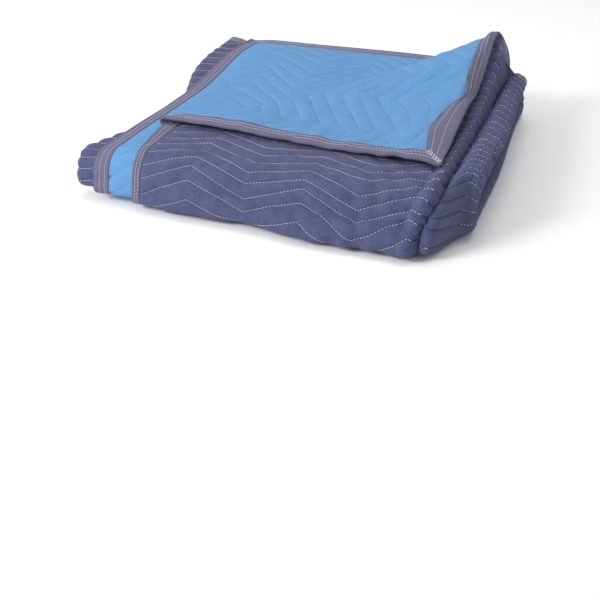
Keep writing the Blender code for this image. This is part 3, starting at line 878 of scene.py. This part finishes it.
def thread_mesh(name, groups):
    """One mesh of all stitches. groups holds (stitch ends on the plan, function for the height)."""
    verts, faces, base = [], [], 0
    sides = 5
    angles = np.arange(sides) * 2 * np.pi / sides
    for ends, height, radius in groups:
        if not len(ends):
            continue
        stations = []
        for share, size, lift in STITCH_SHAPE:
            p = ends[:, 0] * (1 - share) + ends[:, 2] * share
            q = ends[:, 1] * (1 - share) + ends[:, 3] * share
            off = height(p, q)
            outward_off = off + np.sign(off) * radius * lift
            centre = spot(p, q, outward_off)
            normal = spot(p, q, outward_off + np.sign(off) * MM) - centre
            stations.append((centre, normal, size))
        direction = stations[3][0] - stations[0][0]
        length = np.linalg.norm(direction, axis=-1)
        good = (length > 0.25 * STITCH["length"]) & (length < 1.8 * STITCH["length"])
        direction = direction / np.maximum(length, 1e-9)[:, None]
        for centre, normal, size in stations:
            side = np.cross(direction, normal)
            side = side / np.maximum(np.linalg.norm(side, axis=-1), 1e-9)[:, None]
            up = np.cross(side, direction)
            ring = (
                centre[:, None, :]
                + radius * size * np.cos(angles)[None, :, None] * side[:, None, :]
                + radius * size * np.sin(angles)[None, :, None] * up[:, None, :]
            )
            verts.append(ring[good])
        number = int(good.sum())
        block = np.stack(verts[-4:], 1).reshape(-1, 3)
        verts = verts[:-4] + [block]
        first = base + np.arange(number) * 4 * sides
        for ring in range(3):
            for s in range(sides):
                n = (s + 1) % sides
                quad = [ring * sides + s, ring * sides + n, (ring + 1) * sides + n, (ring + 1) * sides + s]
                faces.append(first[:, None] + np.array(quad)[None, :])
        base += number * 4 * sides
    mesh = bpy.data.meshes.new(name)
    mesh.from_pydata(np.concatenate(verts).tolist(), [], np.concatenate(faces).tolist())
    mesh.shade_smooth()
    return mesh


def quilt_stitches(side):
    """Stitch ends of the visible rows, on the cover's side or the lining's."""
    seam = BINDING_WIDTH + 1.0 * MM
    found = []
    stretches = {
        "top": (P[5] + 0.004, P_END - seam),
        "corner": (P[6], P_END - seam),
        "second": (seam, P[1]),
        "plain": None,
    }
    fold_spans = [(P[3] - 0.05, P[4] + 0.05), (P[5] - 0.01, P[6] + 0.01)]
    for number, (name, (row, first, last)) in enumerate(PATTERNS.items(), 1):
        spans = [stretches[name]] if stretches[name] else fold_spans
        for low, high in spans:
            p = spread(low, high, 0.0012)
            for k in range(first, last):
                q = row(p, k)
                keep = (q > seam) & (q < Q_END - seam) & (pattern_of(p, q) == number)
                if name != "plain":
                    keep &= q < Q[2]
                keep &= ~((q > Q[2]) & (q < Q[3]))
                if name == "second":
                    keep &= (side == "lining") & ((q < 0.56) | (p < 0.06))
                if name in ("top", "plain"):
                    keep &= side == "cover"
                cut = np.flatnonzero(np.diff(np.concatenate([[0], keep.astype(int), [0]])))
                for start, end in zip(cut[::2], cut[1::2]):
                    if end - start > 4:
                        found.append(stitched_line(p[start:end], q[start:end]))
    return np.concatenate(found)


def binding_stitches():
    found = []
    for u in BINDING_ROWS:
        p = spread(u, P_END - u, 0.002)
        found.append(stitched_line(p, np.full(len(p), u)))
        q = spread(u, Q[2], 0.002)
        found.append(stitched_line(np.full(len(q), u), q))
        found.append(stitched_line(np.full(len(q), P_END - u), q))
    return np.concatenate(found)


def bar_tack():
    """The zigzag of thread over the mitre where the bindings meet at the corner."""
    found = []
    for side in (-1, 1):
        for k in range(11):
            ends = []
            for step in (k, k + 1):
                t = step / 11
                middle = (3.5 + 21.0 * t) * MM
                swing = (1.6 + side * (3.2 if step % 2 else 0.2)) * MM
                ends.append((P_END - middle - swing, middle - swing))
            (p0, q0), (p1, q1) = ends
            for part in (0.0, 0.5):
                found.append([p0 + (p1 - p0) * part, q0 + (q1 - q0) * part])
                found[-1] += [p0 + (p1 - p0) * (part + 0.5), q0 + (q1 - q0) * (part + 0.5)]
    return np.array(found)


def build_cloth():
    points, faces = make_plan()
    p, q = points[faces].mean(axis=1).T
    edge = BINDING_WIDTH
    first_end, last_end = q < edge, q > Q_END - edge
    between = ~first_end & ~last_end
    cloth = faces[between & (p > edge) & (p < P_END - edge)]
    cover_mesh = closed_mesh("cover_cloth", points, cloth, cover_off, outward(COVER_INNER))
    cover = add("cover_cloth", cover_mesh, NAVY, "cover", "cover")
    lining_mesh = closed_mesh("lining_cloth", points, cloth, outward(LINING_OUTER), lining_off)
    lining = add("lining_cloth", lining_mesh, BLUE, "lining", "lining")
    strips = {
        "binding_back_end": first_end,
        "binding_tucked_end": last_end,
        "binding_second_layer": between & (p < edge),
        "binding_top_layer": between & (p > P_END - edge),
    }
    for name, mine in strips.items():
        mesh = closed_mesh(name + "_tape", points, faces[mine], binding_off, lambda p, q: -binding_off(p, q))
        add(name + "_tape", mesh, TAPE, "binding", name)
    radius = STITCH["radius"]
    covers = lambda p, q: cover_off(p, q) + 0.15 * MM
    linings = lambda p, q: lining_off(p, q) - 0.10 * MM
    on_cover = thread_mesh("cover_thread", [(quilt_stitches("cover"), covers, radius)])
    add("cover_thread", on_cover, THREAD, "binding")
    on_lining = thread_mesh("lining_thread", [(quilt_stitches("lining"), linings, radius * 0.8)])
    add("lining_thread", on_lining, PALE_THREAD, "lining")
    rows = binding_stitches()
    tape_out = lambda p, q: binding_off(p, q) + 0.1 * MM
    tape_in = lambda p, q: -binding_off(p, q) - 0.1 * MM
    tack = bar_tack()
    on_tape = thread_mesh(
        "binding_thread", [(rows, tape_out, radius), (rows, tape_in, radius), (tack, tape_in, radius * 1.5)]
    )
    add("binding_thread", on_tape, THREAD, "binding")


def add_stage():
    bpy.ops.mesh.primitive_plane_add(size=14, location=(0, 0, -0.0003))
    floor = bpy.context.object
    floor.name = "floor"
    floor.data.materials.append(plain_material("floor", (0.97, 0.97, 0.97, 1), 0.9))
    world = bpy.context.scene.world or bpy.data.worlds.new("world")
    bpy.context.scene.world = world
    world.use_nodes = True
    background = world.node_tree.nodes["Background"]
    background.inputs["Color"].default_value = (1.0, 1.0, 1.0, 1)
    background.inputs["Strength"].default_value = 0.55
    bpy.context.scene.view_settings.view_transform = "Standard"
    for name, place, size, power, aim in (
        # soft box, place, size, power, what it looks at
        ("key", (-1.8, -2.0, 1.5), 1.0, 66.0, (0, 0, 0.05)),
        ("top", (0.2, 0.6, 2.4), 1.4, 18.0, (0, 0, 0.05)),
        ("left", (-2.4, -0.4, 1.0), 1.2, 14.0, (0, 0, 0.05)),
    ):
        light = bpy.data.lights.new(name, "AREA")
        light.energy = power
        light.size = size
        made = bpy.data.objects.new(name, light)
        made.location = place
        made.rotation_euler = (Vector(aim) - Vector(place)).to_track_quat("-Z", "Y").to_euler()
        bpy.context.scene.collection.objects.link(made)


def add_camera():
    camera = bpy.data.cameras.new("camera")
    camera.sensor_width = 36.0
    camera.lens = 967.0 / 600.0 * 36.0
    made = bpy.data.objects.new("camera", camera)
    azimuth, pitch = math.radians(20.7), math.radians(31.0)
    level = math.cos(pitch)
    forward = Vector((-math.sin(azimuth) * level, math.cos(azimuth) * level, -math.sin(pitch)))
    made.rotation_euler = forward.to_track_quat("-Z", "Y").to_euler()
    made.location = Vector((0.48139, -1.41772, 0.61605)) - Vector(MIDDLE)
    bpy.context.scene.collection.objects.link(made)
    bpy.context.scene.camera = made


build_cloth()
add_stage()
add_camera()
